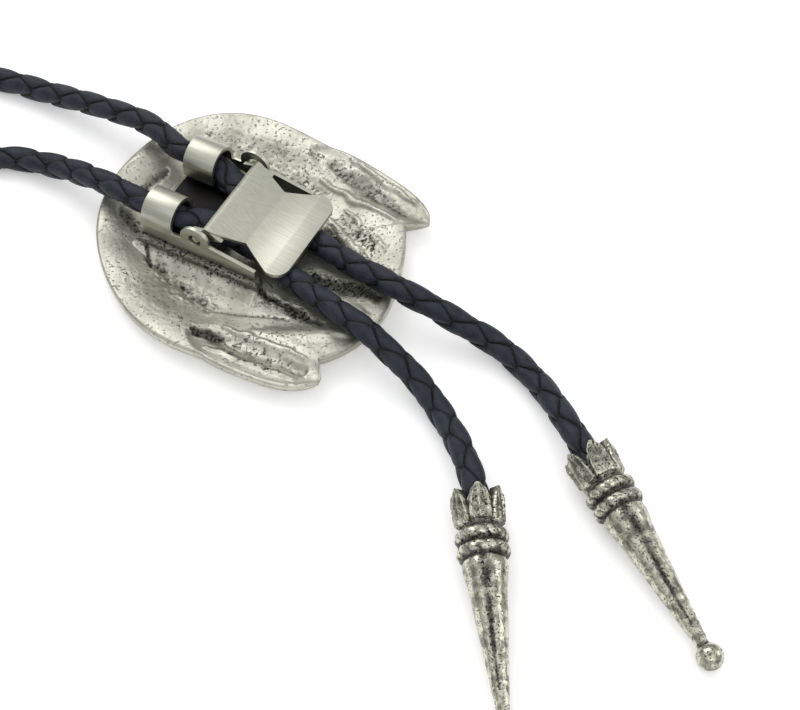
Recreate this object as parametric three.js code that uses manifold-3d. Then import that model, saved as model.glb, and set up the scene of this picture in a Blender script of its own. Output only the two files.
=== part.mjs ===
// Bolo tie: a cast slide lying face down with a sheet-metal clip on its back,
// one braided cord through the clip's two loops, and a cast tip on each cord end.
// Millimetres, +Z up, the surface at z = 0, the slide's box centred on the origin.
import * as THREE from "three";
import { mergeVertices } from "three/addons/utils/BufferGeometryUtils.js";
import Module from "manifold-3d";

const wasm = await Module();
wasm.setup();

// Driving sizes
const gap = 0.3;
const cordRadius = 2.5;
const loopSlack = 0.8;

// Cast plate of the slide. Heights are above the surface that it lies on.
const plate = {
  centreX: -2.55,
  centreY: 2.4,
  meanRadius: 31.3,
  floorHeight: 2.2,
  rimHeight: 5.2,
  rimThickness: 2.0,
  flatShare: 0.45,
  dishShare: 0.55,
  rimShare: 0.97,
  leafDip: 1.1,
  angles: 96,
  backRings: 10,
  frontRings: 6,
};

// The outline's slow waves: how many around, how far they swing, where the first one peaks
const outlineWaves = [
  { around: 1, swing: 0.7, peakDeg: -72 },
  { around: 2, swing: 2.36, peakDeg: -52.5 },
  { around: 3, swing: 0.35, peakDeg: -7 },
  { around: 4, swing: 0.68, peakDeg: 23 },
  { around: 5, swing: 0.5, peakDeg: 22 },
];

// Two leaf-shaped lobes, each hollowed from behind
const leaves = [
  { baseX: 9.0, baseY: 25.0, tipX: 33.0, tipY: 5.0, halfWidth: 4.2 },
  { baseX: -13.0, baseY: -21.2, tipX: 12.4, tipY: -32.9, halfWidth: 5.4 },
];

// Clip, measured along its length from the loops' outer end, and up from the underside of its base
const clip = {
  originX: -17.77,
  originY: 11.82,
  headingDeg: -28,
  baseHeight: 5.8,
  sheet: 0.8,
  halfWidth: 11.7,
  floorLength: 12.2,
  length: 25.5,
  loopLength: 6.8,
  loopRadius: cordRadius + loopSlack + 0.8,
  wallStartHeight: 3.0,
  wallEndHeight: 2.1,
  lipHeight: 2.0,
  earAt: 12.2,
  earHeight: 4.2,
  earRadius: 3.2,
  holeRadius: 1.35,
};

// Lever: widths are set from the clip's side walls, and lengths from the ears' hole
const lever = {
  wallClearance: 0.9,
  waistInset: 4.3,
  flareOverhang: -0.7,
  sheetStart: 0.6,
  shoulderAt: 2.4,
  waistAt: 9.1,
  flareAt: 15.4,
  endAt: 19.1,
  cornerRadius: 2.0,
  studRadius: 1.0,
  cheekRadius: 1.8,
};

const leverHalfWidth = {
  hinge: clip.halfWidth - clip.sheet - lever.wallClearance,
  waist: clip.halfWidth - lever.waistInset,
  flare: clip.halfWidth + lever.flareOverhang,
};

// Pad cast on the plate under the clip, with a rail under each side wall
const pad = {
  startAt: -0.6,
  pastFloor: 2.2,
  railPastClip: 1.0,
  margin: 1.2,
  railReach: 1.4,
  root: 1.0,
};

// Cord tip, measured from the crown's mouth towards the ball
const tip = {
  prongs: 6,
  boreRadius: cordRadius + gap,
  boreDepth: 8.3,
  mouthRadius: 4.6,
  collarAt: 6.8,
  collarRadius: 4.0,
  ringRadius: 4.8,
  ringWidth: 2.4,
  ringGap: 0.4,
  ringLead: 0.9,
  ringCount: 2,
  coneRadius: 3.4,
  neckAt: 40.6,
  neckRadius: 1.1,
  ballRadius: 2.4,
  sides: 16,
  prongDepth: 3.4,
};

const tipPlaces = {
  right: { x: 60.55, y: -49.9, headingDeg: -64.2 },
  left: { x: 40.65, y: -58.4, headingDeg: -85.0 },
};

const degree = Math.PI / 180;

function smoothStep(value, low, high) {
  const t = Math.min(1, Math.max(0, (value - low) / (high - low)));
  return t * t * (3 - 2 * t);
}

function arcPoints(centreA, centreB, radius, fromDeg, toDeg, steps) {
  const points = [];
  for (let i = 0; i <= steps; i += 1) {
    const angle = (fromDeg + ((toDeg - fromDeg) * i) / steps) * degree;
    points.push([centreA + radius * Math.cos(angle), centreB + radius * Math.sin(angle)]);
  }
  return points;
}

function toSolid(geometry) {
  const bare = geometry.clone();
  bare.deleteAttribute("normal");
  bare.deleteAttribute("uv");
  const merged = mergeVertices(bare, 1e-5);
  const mesh = new wasm.Mesh({
    numProp: 3,
    vertProperties: Float32Array.from(merged.attributes.position.array),
    triVerts: Uint32Array.from(merged.index.array),
  });
  return new wasm.Manifold(mesh);
}

function toGeometry(solid) {
  const mesh = solid.getMesh();
  const geometry = new THREE.BufferGeometry();
  geometry.setAttribute("position", new THREE.BufferAttribute(Float32Array.from(mesh.vertProperties), 3));
  geometry.setIndex(Array.from(mesh.triVerts));
  geometry.computeVertexNormals();
  return geometry;
}

// Prism from an outline of [a, b] pairs; axes names where a, b and the depth go
function prism(outline, from, to, axes) {
  const shape = new THREE.Shape(outline.map(([a, b]) => new THREE.Vector2(a, b)));
  const geometry = new THREE.ExtrudeGeometry(shape, { depth: to - from, bevelEnabled: false });
  geometry.translate(0, 0, from);
  if (axes === "acrossUpAlong") {
    geometry.applyMatrix4(
      new THREE.Matrix4().set(0, 0, 1, 0, 1, 0, 0, 0, 0, 1, 0, 0, 0, 0, 0, 1)
    );
  }
  if (axes === "alongUpAcross") {
    geometry.applyMatrix4(new THREE.Matrix4().makeRotationX(Math.PI / 2));
  }
  return geometry;
}

function box(alongFrom, alongTo, acrossFrom, acrossTo, upFrom, upTo) {
  const outline = [
    [alongFrom, acrossFrom],
    [alongTo, acrossFrom],
    [alongTo, acrossTo],
    [alongFrom, acrossTo],
  ];
  return toSolid(prism(outline, upFrom, upTo, "alongAcrossUp"));
}

// Side shape in the clip's length and height, spanning from one across value to another
function sidePlate(outline, acrossFrom, acrossTo) {
  return toSolid(prism(outline, -acrossTo, -acrossFrom, "alongUpAcross"));
}

function clipPlace() {
  const turn = new THREE.Matrix4().makeRotationZ(clip.headingDeg * degree);
  return turn.setPosition(clip.originX, clip.originY, clip.baseHeight);
}

// Half width of a leaf at a share of its length
function leafHalfWidth(leaf, share) {
  if (share <= 0 || share >= 1) {
    return 0;
  }
  return leaf.halfWidth * (1 - Math.abs(2 * share - 1) ** 3) ** 0.6;
}

// Where a point stands in a leaf: 0 on its midrib, 1 on its edge, more outside
function leafReach(leaf, x, y) {
  const spanX = leaf.tipX - leaf.baseX;
  const spanY = leaf.tipY - leaf.baseY;
  const length = Math.hypot(spanX, spanY);
  const share = ((x - leaf.baseX) * spanX + (y - leaf.baseY) * spanY) / length ** 2;
  const off = Math.abs((x - leaf.baseX) * spanY - (y - leaf.baseY) * spanX) / length;
  const half = leafHalfWidth(leaf, share);
  return half > 0.05 ? off / half : 9;
}

function outlineRadius(angle) {
  let radius = plate.meanRadius;
  for (const wave of outlineWaves) {
    radius += wave.swing * Math.cos(wave.around * (angle - wave.peakDeg * degree));
  }
  const stepBack = 0.2;
  for (let far = plate.meanRadius * 1.35; far > radius; far -= stepBack) {
    const x = plate.centreX + far * Math.cos(angle);
    const y = plate.centreY + far * Math.sin(angle);
    if (leaves.some((leaf) => leafReach(leaf, x, y) < 1)) {
      return far;
    }
  }
  return radius;
}

function backHeight(x, y, share) {
  const rise = plate.rimHeight - plate.floorHeight;
  let height = plate.floorHeight + rise * smoothStep(share, plate.dishShare, plate.rimShare);
  for (const leaf of leaves) {
    const reach = leafReach(leaf, x, y);
    if (reach < 1) {
      height -= plate.leafDip * (1 - reach ** 2) * smoothStep(height, plate.floorHeight, plate.rimHeight);
    }
  }
  return height;
}

function frontHeight(share) {
  return (plate.rimHeight - plate.rimThickness) * smoothStep(share, plate.flatShare, 1.08) ** 1.2;
}

// Closed dish: rings over the back, the rim's edge, then rings over the front
function dishGeometry() {
  const rings = [];
  for (let i = 1; i <= plate.backRings; i += 1) {
    rings.push({ share: (i / plate.backRings) ** 0.8, back: true });
  }
  for (let i = plate.frontRings; i >= 1; i -= 1) {
    rings.push({ share: i / plate.frontRings, back: false });
  }
  const positions = [plate.centreX, plate.centreY, plate.floorHeight];
  for (const ring of rings) {
    for (let k = 0; k < plate.angles; k += 1) {
      const angle = (2 * Math.PI * k) / plate.angles;
      const radius = ring.share * outlineRadius(angle);
      const x = plate.centreX + radius * Math.cos(angle);
      const y = plate.centreY + radius * Math.sin(angle);
      positions.push(x, y, ring.back ? backHeight(x, y, ring.share) : frontHeight(ring.share));
    }
  }
  positions.push(plate.centreX, plate.centreY, 0);
  const last = positions.length / 3 - 1;
  const at = (ring, k) => 1 + ring * plate.angles + (k % plate.angles);
  const index = [];
  for (let k = 0; k < plate.angles; k += 1) {
    index.push(0, at(0, k), at(0, k + 1));
    for (let ring = 0; ring + 1 < rings.length; ring += 1) {
      index.push(at(ring, k), at(ring + 1, k), at(ring + 1, k + 1));
      index.push(at(ring, k), at(ring + 1, k + 1), at(ring, k + 1));
    }
    index.push(last, at(rings.length - 1, k + 1), at(rings.length - 1, k));
  }
  const geometry = new THREE.BufferGeometry();
  geometry.setAttribute("position", new THREE.BufferAttribute(Float32Array.from(positions), 3));
  geometry.setIndex(index);
  return geometry;
}

function slidePlateGeometry() {
  const top = -gap;
  const root = pad.root - clip.baseHeight;
  const halfWidth = clip.halfWidth + pad.margin;
  const padEnd = clip.floorLength + pad.pastFloor;
  const railEnd = clip.length + pad.railPastClip;
  let raised = box(pad.startAt, padEnd, -halfWidth, halfWidth, root, top);
  for (const side of [-1, 1]) {
    const inner = clip.halfWidth - pad.railReach;
    const across = [side * inner, side * halfWidth].sort((a, b) => a - b);
    raised = raised.add(box(padEnd - 1, railEnd, across[0], across[1], root, top));
  }
  const placed = toGeometry(raised).applyMatrix4(clipPlace());
  return toGeometry(toSolid(dishGeometry()).add(toSolid(placed)));
}

// One rolled loop: floor, outer wall, round over the cord and down inside it
function loopBand(side) {
  const radius = clip.loopRadius;
  const inner = radius - clip.sheet;
  const centre = clip.halfWidth - radius;
  const bendSteps = 12;
  const outline = [
    [0, 0],
    [clip.halfWidth - 0.5, 0],
    [clip.halfWidth, 0.5],
    ...arcPoints(centre, radius, radius, 0, 180, bendSteps),
    [centre - radius, clip.lipHeight],
    [centre - inner, clip.lipHeight],
    ...arcPoints(centre, radius, inner, 180, 0, bendSteps),
    [clip.halfWidth - clip.sheet, clip.sheet],
    [0, clip.sheet],
  ];
  const sided = outline.map(([across, up]) => [side * across, up]);
  return toSolid(prism(sided, 0, clip.loopLength, "acrossUpAlong"));
}

function sideWall(side) {
  const wallStart = clip.loopLength - 1.0;
  const outline = [
    [wallStart, 0],
    [clip.length, 0],
    [clip.length, clip.wallEndHeight],
    ...arcPoints(clip.earAt, clip.earHeight, clip.earRadius, -8, 195, 16),
    [wallStart, clip.wallStartHeight],
  ];
  const holeOutline = arcPoints(clip.earAt, clip.earHeight, clip.holeRadius, 0, 337.5, 15);
  const faces = [side * clip.halfWidth, side * (clip.halfWidth - clip.sheet)].sort((a, b) => a - b);
  const wall = sidePlate(outline, faces[0], faces[1]);
  return wall.subtract(sidePlate(holeOutline, faces[0] - 1, faces[1] + 1));
}

function clipBaseGeometry() {
  const floorStart = clip.loopLength - 1.0;
  let base = box(floorStart, clip.floorLength, -clip.halfWidth, clip.halfWidth, 0, clip.sheet);
  for (const side of [-1, 1]) {
    base = base.add(loopBand(side)).add(sideWall(side));
  }
  return toGeometry(base);
}

// Middle line of the bent sheet from the pressing lip to the thumb end, from the ears' hole
const leverBends = [
  { past: 1.55, over: 1.15 },
  { past: 1.25, over: 1.7 },
  { past: 1.55, over: 2.1 },
  { past: 2.2, over: 2.0 },
  { past: 9.1, over: -0.85 },
  { past: 13.3, over: -1.4 },
  { past: 19.3, over: -1.8 },
];

function leverSheet() {
  const upper = [];
  const lower = [];
  leverBends.forEach((bend, i) => {
    const before = leverBends[Math.max(0, i - 1)];
    const after = leverBends[Math.min(leverBends.length - 1, i + 1)];
    const run = new THREE.Vector2(after.past - before.past, after.over - before.over).normalize();
    const half = clip.sheet / 2;
    const along = clip.earAt + bend.past;
    const up = clip.earHeight + bend.over;
    upper.push([along - run.y * half, up + run.x * half]);
    lower.unshift([along + run.y * half, up - run.x * half]);
  });
  return sidePlate([...upper, ...lower], -leverHalfWidth.flare, leverHalfWidth.flare);
}

function leverPlan() {
  const corner = lever.cornerRadius;
  const cornerAlong = clip.earAt + lever.endAt - corner;
  const cornerAcross = leverHalfWidth.flare - corner;
  const oneSide = [
    [clip.earAt + lever.sheetStart, leverHalfWidth.hinge],
    [clip.earAt + lever.shoulderAt, leverHalfWidth.hinge],
    [clip.earAt + lever.waistAt, leverHalfWidth.waist],
    [clip.earAt + lever.flareAt, leverHalfWidth.flare],
    ...arcPoints(cornerAlong, cornerAcross, corner, 90, 0, 5),
  ];
  const otherSide = oneSide.map(([along, across]) => [along, -across]).reverse();
  return toSolid(prism([...oneSide, ...otherSide], -2, 12, "alongAcrossUp"));
}

// Upper edge of the lever's cheeks, from the ears' hole
const cheekTop = [
  { past: 5.2, over: 0.65 },
  { past: 2.2, over: 2.0 },
  { past: 1.2, over: 1.8 },
];

// Cheek at each side of the lever with the stud that turns in the base's ear
function leverCheek(side) {
  const outline = [
    ...arcPoints(clip.earAt, clip.earHeight, lever.cheekRadius, 145, 330, 12),
    ...cheekTop.map((point) => [clip.earAt + point.past, clip.earHeight + point.over]),
  ];
  const outer = leverHalfWidth.hinge;
  const faces = [side * outer, side * (outer - clip.sheet)].sort((a, b) => a - b);
  const studOutline = arcPoints(clip.earAt, clip.earHeight, lever.studRadius, 0, 330, 11);
  const studFaces = [side * (outer - 0.4), side * clip.halfWidth].sort((a, b) => a - b);
  const cheek = sidePlate(outline, faces[0], faces[1]);
  return cheek.add(sidePlate(studOutline, studFaces[0], studFaces[1]));
}

function leverGeometry() {
  const sheet = leverSheet().intersect(leverPlan());
  return toGeometry(sheet.add(leverCheek(-1)).add(leverCheek(1)));
}

function tipGeometry() {
  const firstRing = tip.collarAt + tip.ringLead + tip.ringWidth / 2;
  const profile = [
    [0, tip.boreDepth],
    [tip.boreRadius, tip.boreDepth],
    [tip.boreRadius, 0],
    [tip.mouthRadius, 0],
    [tip.collarRadius, tip.collarAt],
  ];
  for (let ring = 0; ring < tip.ringCount; ring += 1) {
    const middle = firstRing + ring * (tip.ringWidth + tip.ringGap);
    const half = tip.ringWidth / 2;
    profile.push([tip.collarRadius, middle - half]);
    profile.push([tip.ringRadius - 0.3, middle - half * 0.6]);
    profile.push([tip.ringRadius, middle]);
    profile.push([tip.ringRadius - 0.3, middle + half * 0.6]);
    profile.push([tip.collarRadius, middle + half]);
  }
  const coneStart = firstRing + tip.ringCount * (tip.ringWidth + tip.ringGap) - tip.ringWidth / 2;
  const ballCentre = tip.neckAt + Math.sqrt(tip.ballRadius ** 2 - tip.neckRadius ** 2);
  profile.push([tip.coneRadius, coneStart]);
  profile.push([tip.neckRadius, tip.neckAt]);
  for (const angle of [125, 98, 70, 42, 20]) {
    const radius = tip.ballRadius * Math.sin(angle * degree);
    profile.push([radius, ballCentre + tip.ballRadius * Math.cos(angle * degree)]);
  }
  profile.push([0, ballCentre + tip.ballRadius]);
  const points = profile.map(([radius, along]) => new THREE.Vector2(radius, along));
  const turned = new THREE.LatheGeometry(points, tip.sides);
  turned.rotateZ(-Math.PI / 2);
  const notchHalf = (Math.PI * tip.mouthRadius * 0.78) / tip.prongs;
  const notchOutline = [
    [-0.4, -notchHalf],
    [tip.prongDepth, 0],
    [-0.4, notchHalf],
  ];
  let cast = toSolid(turned);
  for (let k = 0; k < tip.prongs; k += 1) {
    const notch = prism(notchOutline, 1.5, tip.mouthRadius + 1, "alongAcrossUp");
    notch.rotateX((2 * Math.PI * k) / tip.prongs);
    cast = cast.subtract(toSolid(notch));
  }
  return toGeometry(cast);
}

// The tip lies on its second ring and its ball, so its axis slopes down to the ball
const tipLie = (() => {
  const ringAt = tip.collarAt + tip.ringLead + tip.ringWidth * 1.5 + tip.ringGap;
  const ballAt = tip.neckAt + Math.sqrt(tip.ballRadius ** 2 - tip.neckRadius ** 2);
  const slope = Math.asin((tip.ringRadius - tip.ballRadius) / (ballAt - ringAt));
  const lift = 0.03;
  return { slope, mouthHeight: tip.ringRadius / Math.cos(slope) + ringAt * Math.tan(slope) + lift };
})();

function pointInTip(place, along) {
  const level = along * Math.cos(tipLie.slope);
  const heading = place.headingDeg * degree;
  return {
    x: place.x + level * Math.cos(heading),
    y: place.y + level * Math.sin(heading),
    z: tipLie.mouthHeight - along * Math.sin(tipLie.slope),
    flat: 1,
  };
}

// The cord's run through the clip, the same on both sides: how far along, how far in from
// its loop's middle, height over the base's underside, and thickness as a share of the round cord
const clipRun = [
  { along: -3.0, inward: 0.0, up: 4.1, flat: 1.0 },
  { along: 2.0, inward: 0.0, up: 4.05, flat: 1.0 },
  { along: 6.9, inward: 0.2, up: 3.8, flat: 1.0 },
  { along: 9.7, inward: 1.8, up: 2.95, flat: 0.76 },
  { along: 12.2, inward: 2.2, up: 2.85, flat: 0.69 },
  { along: 15.0, inward: 2.5, up: 2.0, flat: 0.84 },
  { along: 18.0, inward: 2.7, up: 0.85, flat: 0.95 },
  { along: 22.0, inward: 2.9, up: -0.4, flat: 0.95 },
  { along: 26.5, inward: 3.0, up: -0.65, flat: 0.93 },
];

function clipRunPoints(side) {
  const place = clipPlace();
  const loopMiddle = clip.halfWidth - clip.loopRadius;
  return clipRun.map((row) => {
    const out = side * (loopMiddle - row.inward);
    const point = new THREE.Vector3(row.along, out, row.up).applyMatrix4(place);
    return { x: point.x, y: point.y, z: point.z, flat: row.flat };
  });
}

const restHeight = cordRadius + 0.12;

// From under the lever to the right tip
const rightEnd = [
  { x: 11.5, y: -0.6, z: 5.1, flat: 0.95 },
  { x: 17.2, y: -6.3, z: 6.2, flat: 1 },
  { x: 22.9, y: -11.4, z: 7.9, flat: 1 },
  { x: 28.1, y: -15.3, z: 8.3, flat: 1 },
  { x: 33.3, y: -18.1, z: 7.4, flat: 1 },
  { x: 38.0, y: -20.4, z: 5.8, flat: 1 },
  { x: 46.1, y: -24.8, z: 3.4, flat: 1 },
  { x: 53.2, y: -33.0, z: 2.9, flat: 1 },
  { x: 57.2, y: -42.3, z: 5.3, flat: 1 },
];

// From under the lever to the left tip
const leftEnd = [
  { x: 5.6, y: -8.7, z: 5.1, flat: 0.95 },
  { x: 9.3, y: -12.7, z: 6.0, flat: 1 },
  { x: 13.6, y: -17.5, z: 7.2, flat: 1 },
  { x: 17.5, y: -21.4, z: 8.2, flat: 1 },
  { x: 21.5, y: -25.0, z: 8.2, flat: 1 },
  { x: 26.0, y: -29.1, z: 6.6, flat: 1 },
  { x: 29.9, y: -32.6, z: 4.8, flat: 1 },
  { x: 34.9, y: -39.8, z: 3.0, flat: 1 },
  { x: 38.5, y: -49.6, z: 5.2, flat: 1 },
];

// From the far loop round the neck's loop, laid on the surface, and back to the near loop
const neckLoop = [
  { x: -23.6, y: 27.0, z: 9.5, flat: 1 },
  { x: -35.0, y: 35.0, z: 6.6, flat: 1 },
  { x: -47.1, y: 42.0, z: 3.6, flat: 1 },
  { x: -58.6, y: 46.9, z: 2.8, flat: 1 },
  { x: -96.0, y: 54.8, z: restHeight, flat: 1 },
  { x: -146.0, y: 54.4, z: restHeight, flat: 1 },
  { x: -181.5, y: 31.0, z: restHeight, flat: 1 },
  { x: -190.5, y: -18.0, z: restHeight, flat: 1 },
  { x: -184.0, y: -68.0, z: restHeight, flat: 1 },
  { x: -150.0, y: -96.8, z: restHeight, flat: 1 },
  { x: -106.0, y: -97.2, z: restHeight, flat: 1 },
  { x: -70.0, y: -86.0, z: restHeight, flat: 1 },
  { x: -59.8, y: -52.0, z: restHeight, flat: 1 },
  { x: -71.0, y: -16.0, z: restHeight, flat: 1 },
  { x: -77.5, y: 6.0, z: restHeight, flat: 1 },
  { x: -70.0, y: 21.0, z: restHeight, flat: 1 },
  { x: -55.4, y: 24.3, z: restHeight, flat: 1 },
  { x: -44.5, y: 21.2, z: 3.9, flat: 1 },
  { x: -32.5, y: 12.6, z: 8.7, flat: 1 },
];

const endInTip = tip.boreDepth - 0.5;

const cordRoute = [
  pointInTip(tipPlaces.right, endInTip),
  pointInTip(tipPlaces.right, 0),
  ...[...rightEnd].reverse(),
  ...clipRunPoints(1).reverse(),
  ...neckLoop,
  ...clipRunPoints(-1),
  ...leftEnd,
  pointInTip(tipPlaces.left, 0),
  pointInTip(tipPlaces.left, endInTip),
];

// Tube along the route, pressed flatter and wider where the lever holds it
function cordGeometry() {
  const sides = 10;
  const longestStep = 14;
  const curve = new THREE.CatmullRomCurve3(
    cordRoute.map((point) => new THREE.Vector3(point.x, point.y, point.z)),
    false,
    "centripetal"
  );
  const spans = cordRoute.length - 1;
  const rings = [];
  for (let span = 0; span < spans; span += 1) {
    const from = cordRoute[span];
    const to = cordRoute[span + 1];
    const reach = Math.hypot(to.x - from.x, to.y - from.y, to.z - from.z);
    const steps = Math.ceil(reach / longestStep);
    for (let i = 0; i < steps; i += 1) {
      const share = i / steps;
      rings.push({ at: (span + share) / spans, flat: from.flat + (to.flat - from.flat) * share });
    }
  }
  rings.push({ at: 1, flat: 1 });
  const positions = [];
  for (const ring of rings) {
    const middle = curve.getPoint(ring.at);
    const run = curve.getTangent(ring.at);
    const across = new THREE.Vector3(run.y, -run.x, 0).normalize();
    const above = new THREE.Vector3().crossVectors(across, run).normalize();
    const halfWidth = cordRadius * (1 + (1 - ring.flat) * 0.8);
    const halfHeight = cordRadius * ring.flat;
    for (let k = 0; k < sides; k += 1) {
      const angle = (2 * Math.PI * (k + 0.5)) / sides;
      const point = middle.clone();
      point.addScaledVector(across, halfWidth * Math.cos(angle));
      point.addScaledVector(above, halfHeight * Math.sin(angle));
      positions.push(point.x, point.y, point.z);
    }
  }
  const first = curve.getPoint(0);
  const last = curve.getPoint(1);
  positions.push(first.x, first.y, first.z, last.x, last.y, last.z);
  const firstAt = rings.length * sides;
  const lastAt = firstAt + 1;
  const at = (ring, k) => ring * sides + (k % sides);
  const index = [];
  for (let k = 0; k < sides; k += 1) {
    index.push(firstAt, at(0, k), at(0, k + 1));
    for (let ring = 0; ring + 1 < rings.length; ring += 1) {
      index.push(at(ring, k), at(ring + 1, k + 1), at(ring, k + 1));
      index.push(at(ring, k), at(ring + 1, k), at(ring + 1, k + 1));
    }
    index.push(lastAt, at(rings.length - 1, k + 1), at(rings.length - 1, k));
  }
  const geometry = new THREE.BufferGeometry();
  geometry.setAttribute("position", new THREE.BufferAttribute(Float32Array.from(positions), 3));
  geometry.setIndex(index);
  geometry.computeVertexNormals();
  return geometry;
}

function makeMesh(name, geometry, material) {
  const mesh = new THREE.Mesh(geometry, new THREE.MeshStandardMaterial(material));
  mesh.name = name;
  return mesh;
}

const group = new THREE.Group();
group.name = "bolo_tie";

group.add(
  makeMesh("slide_plate", slidePlateGeometry(), { color: 0xb4b2a0, roughness: 0.42, metalness: 1 })
);

const clipGroup = new THREE.Group();
clipGroup.position.set(clip.originX, clip.originY, clip.baseHeight);
clipGroup.rotation.z = clip.headingDeg * degree;
clipGroup.add(
  makeMesh("clip_base", clipBaseGeometry(), { color: 0xc9c8b6, roughness: 0.3, metalness: 1 })
);
clipGroup.add(
  makeMesh("clip_lever", leverGeometry(), { color: 0xc9c8b6, roughness: 0.32, metalness: 1 })
);
group.add(clipGroup);

group.add(makeMesh("cord", cordGeometry(), { color: 0x2c2e3a, roughness: 0.75, metalness: 0 }));

for (const [side, place] of Object.entries(tipPlaces)) {
  const lie = new THREE.Group();
  lie.position.set(place.x, place.y, tipLie.mouthHeight);
  lie.rotation.z = place.headingDeg * degree;
  const cast = makeMesh(`tip_${side}`, tipGeometry(), { color: 0xaba998, roughness: 0.35, metalness: 1 });
  cast.rotation.y = tipLie.slope;
  lie.add(cast);
  group.add(lie);
}

export default group;
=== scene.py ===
import math

import bmesh
import bpy
import numpy as np
from mathutils import Matrix, Vector, noise


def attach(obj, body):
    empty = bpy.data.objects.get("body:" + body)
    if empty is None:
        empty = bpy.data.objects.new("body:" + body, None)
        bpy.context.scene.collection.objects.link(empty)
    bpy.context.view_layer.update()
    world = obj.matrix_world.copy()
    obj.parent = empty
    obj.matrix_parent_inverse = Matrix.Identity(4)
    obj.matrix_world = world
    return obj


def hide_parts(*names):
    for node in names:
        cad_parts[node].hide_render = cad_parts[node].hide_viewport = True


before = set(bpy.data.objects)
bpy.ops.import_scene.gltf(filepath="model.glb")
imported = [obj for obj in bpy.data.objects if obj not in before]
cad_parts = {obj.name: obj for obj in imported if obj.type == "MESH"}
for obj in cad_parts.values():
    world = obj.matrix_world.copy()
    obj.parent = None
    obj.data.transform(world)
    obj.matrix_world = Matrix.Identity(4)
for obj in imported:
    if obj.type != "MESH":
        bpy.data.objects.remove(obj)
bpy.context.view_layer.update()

mm = 0.001


def linearColour(hexText):
    channels = [int(hexText[i:i + 2], 16) / 255 for i in (1, 3, 5)]
    return [c / 12.92 if c <= 0.04045 else ((c + 0.055) / 1.055) ** 2.4 for c in channels] + [1.0]


# Fills a node's sockets by name, with _ for a space, or by place as in0. A node or a
# socket given as the value is linked.
def fillSockets(node, **values):
    for name, value in values.items():
        byPlace = name.startswith("in") and name[2:].isdigit()
        socket = node.inputs[int(name[2:]) if byPlace else name.replace("_", " ")]
        if isinstance(value, bpy.types.Node):
            value = value.outputs[0]
        if isinstance(value, bpy.types.NodeSocket):
            node.id_data.links.new(value, socket)
        else:
            socket.default_value = value


# Adds one shader node with its settings, colour stops and socket values
def addNode(tree, kind, settings=None, stops=None, **values):
    node = tree.nodes.new("ShaderNode" + kind)
    for name, value in (settings or {}).items():
        setattr(node, name, value)
    fillSockets(node, **values)
    for i, (place, colour) in enumerate(stops or []):
        elements = node.color_ramp.elements
        stop = elements[i] if i < 2 else elements.new(place)
        stop.position = place
        stop.color = linearColour(colour)
    return node


# Camera
cameraSettings = {
    "target": (0.02725, -0.02415, 0.0),
    "elevationDeg": 54.0,
    "distance": 0.320,
    "lensMm": 75.46,
    "sensorMm": 36.0,
}


def makeCamera(settings):
    data = bpy.data.cameras.new("camera")
    data.lens = settings["lensMm"]
    data.sensor_width = settings["sensorMm"]
    data.clip_start = 0.01
    camera = bpy.data.objects.new("camera", data)
    bpy.context.scene.collection.objects.link(camera)
    elevation = math.radians(settings["elevationDeg"])
    back = Vector((0, -math.cos(elevation), math.sin(elevation)))
    camera.location = Vector(settings["target"]) + back * settings["distance"]
    camera.rotation_euler = (math.pi / 2 - elevation, 0, 0)
    bpy.context.scene.camera = camera


makeCamera(cameraSettings)
print("camera placed")


# Cord route in metres: x, y, z and how thick it is left as a share of the round cord.
# The clip's run is given along, out from the middle and up, for both sides.
clipPlace = {"x": -0.01777, "y": 0.01182, "z": 0.0058, "headingDeg": -28.0}

clipRun = [
    (-0.0030, 0.0076, 0.0041, 1.0),
    (0.0020, 0.0076, 0.00405, 1.0),
    (0.0069, 0.0074, 0.0038, 1.0),
    (0.0097, 0.0058, 0.00295, 0.76),
    (0.0122, 0.0054, 0.00285, 0.69),
    (0.0150, 0.0051, 0.002, 0.84),
    (0.0180, 0.0049, 0.00085, 0.95),
    (0.0220, 0.0047, -0.0004, 0.95),
    (0.0265, 0.0046, -0.00065, 0.93),
]

rightEnd = [
    (0.0115, -0.0006, 0.0051, 0.95),
    (0.0172, -0.0063, 0.0062, 1.0),
    (0.0229, -0.0114, 0.0079, 1.0),
    (0.0281, -0.0153, 0.0083, 1.0),
    (0.0333, -0.0181, 0.0074, 1.0),
    (0.0380, -0.0204, 0.0058, 1.0),
    (0.0461, -0.0248, 0.0034, 1.0),
    (0.0532, -0.0330, 0.0029, 1.0),
    (0.0572, -0.0423, 0.0053, 1.0),
]

leftEnd = [
    (0.0056, -0.0087, 0.0051, 0.95),
    (0.0093, -0.0127, 0.0060, 1.0),
    (0.0136, -0.0175, 0.0072, 1.0),
    (0.0175, -0.0214, 0.0082, 1.0),
    (0.0215, -0.0250, 0.0082, 1.0),
    (0.0260, -0.0291, 0.0066, 1.0),
    (0.0299, -0.0326, 0.0048, 1.0),
    (0.0349, -0.0398, 0.0030, 1.0),
    (0.0385, -0.0496, 0.0052, 1.0),
]

restHeight = 0.00262

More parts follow.
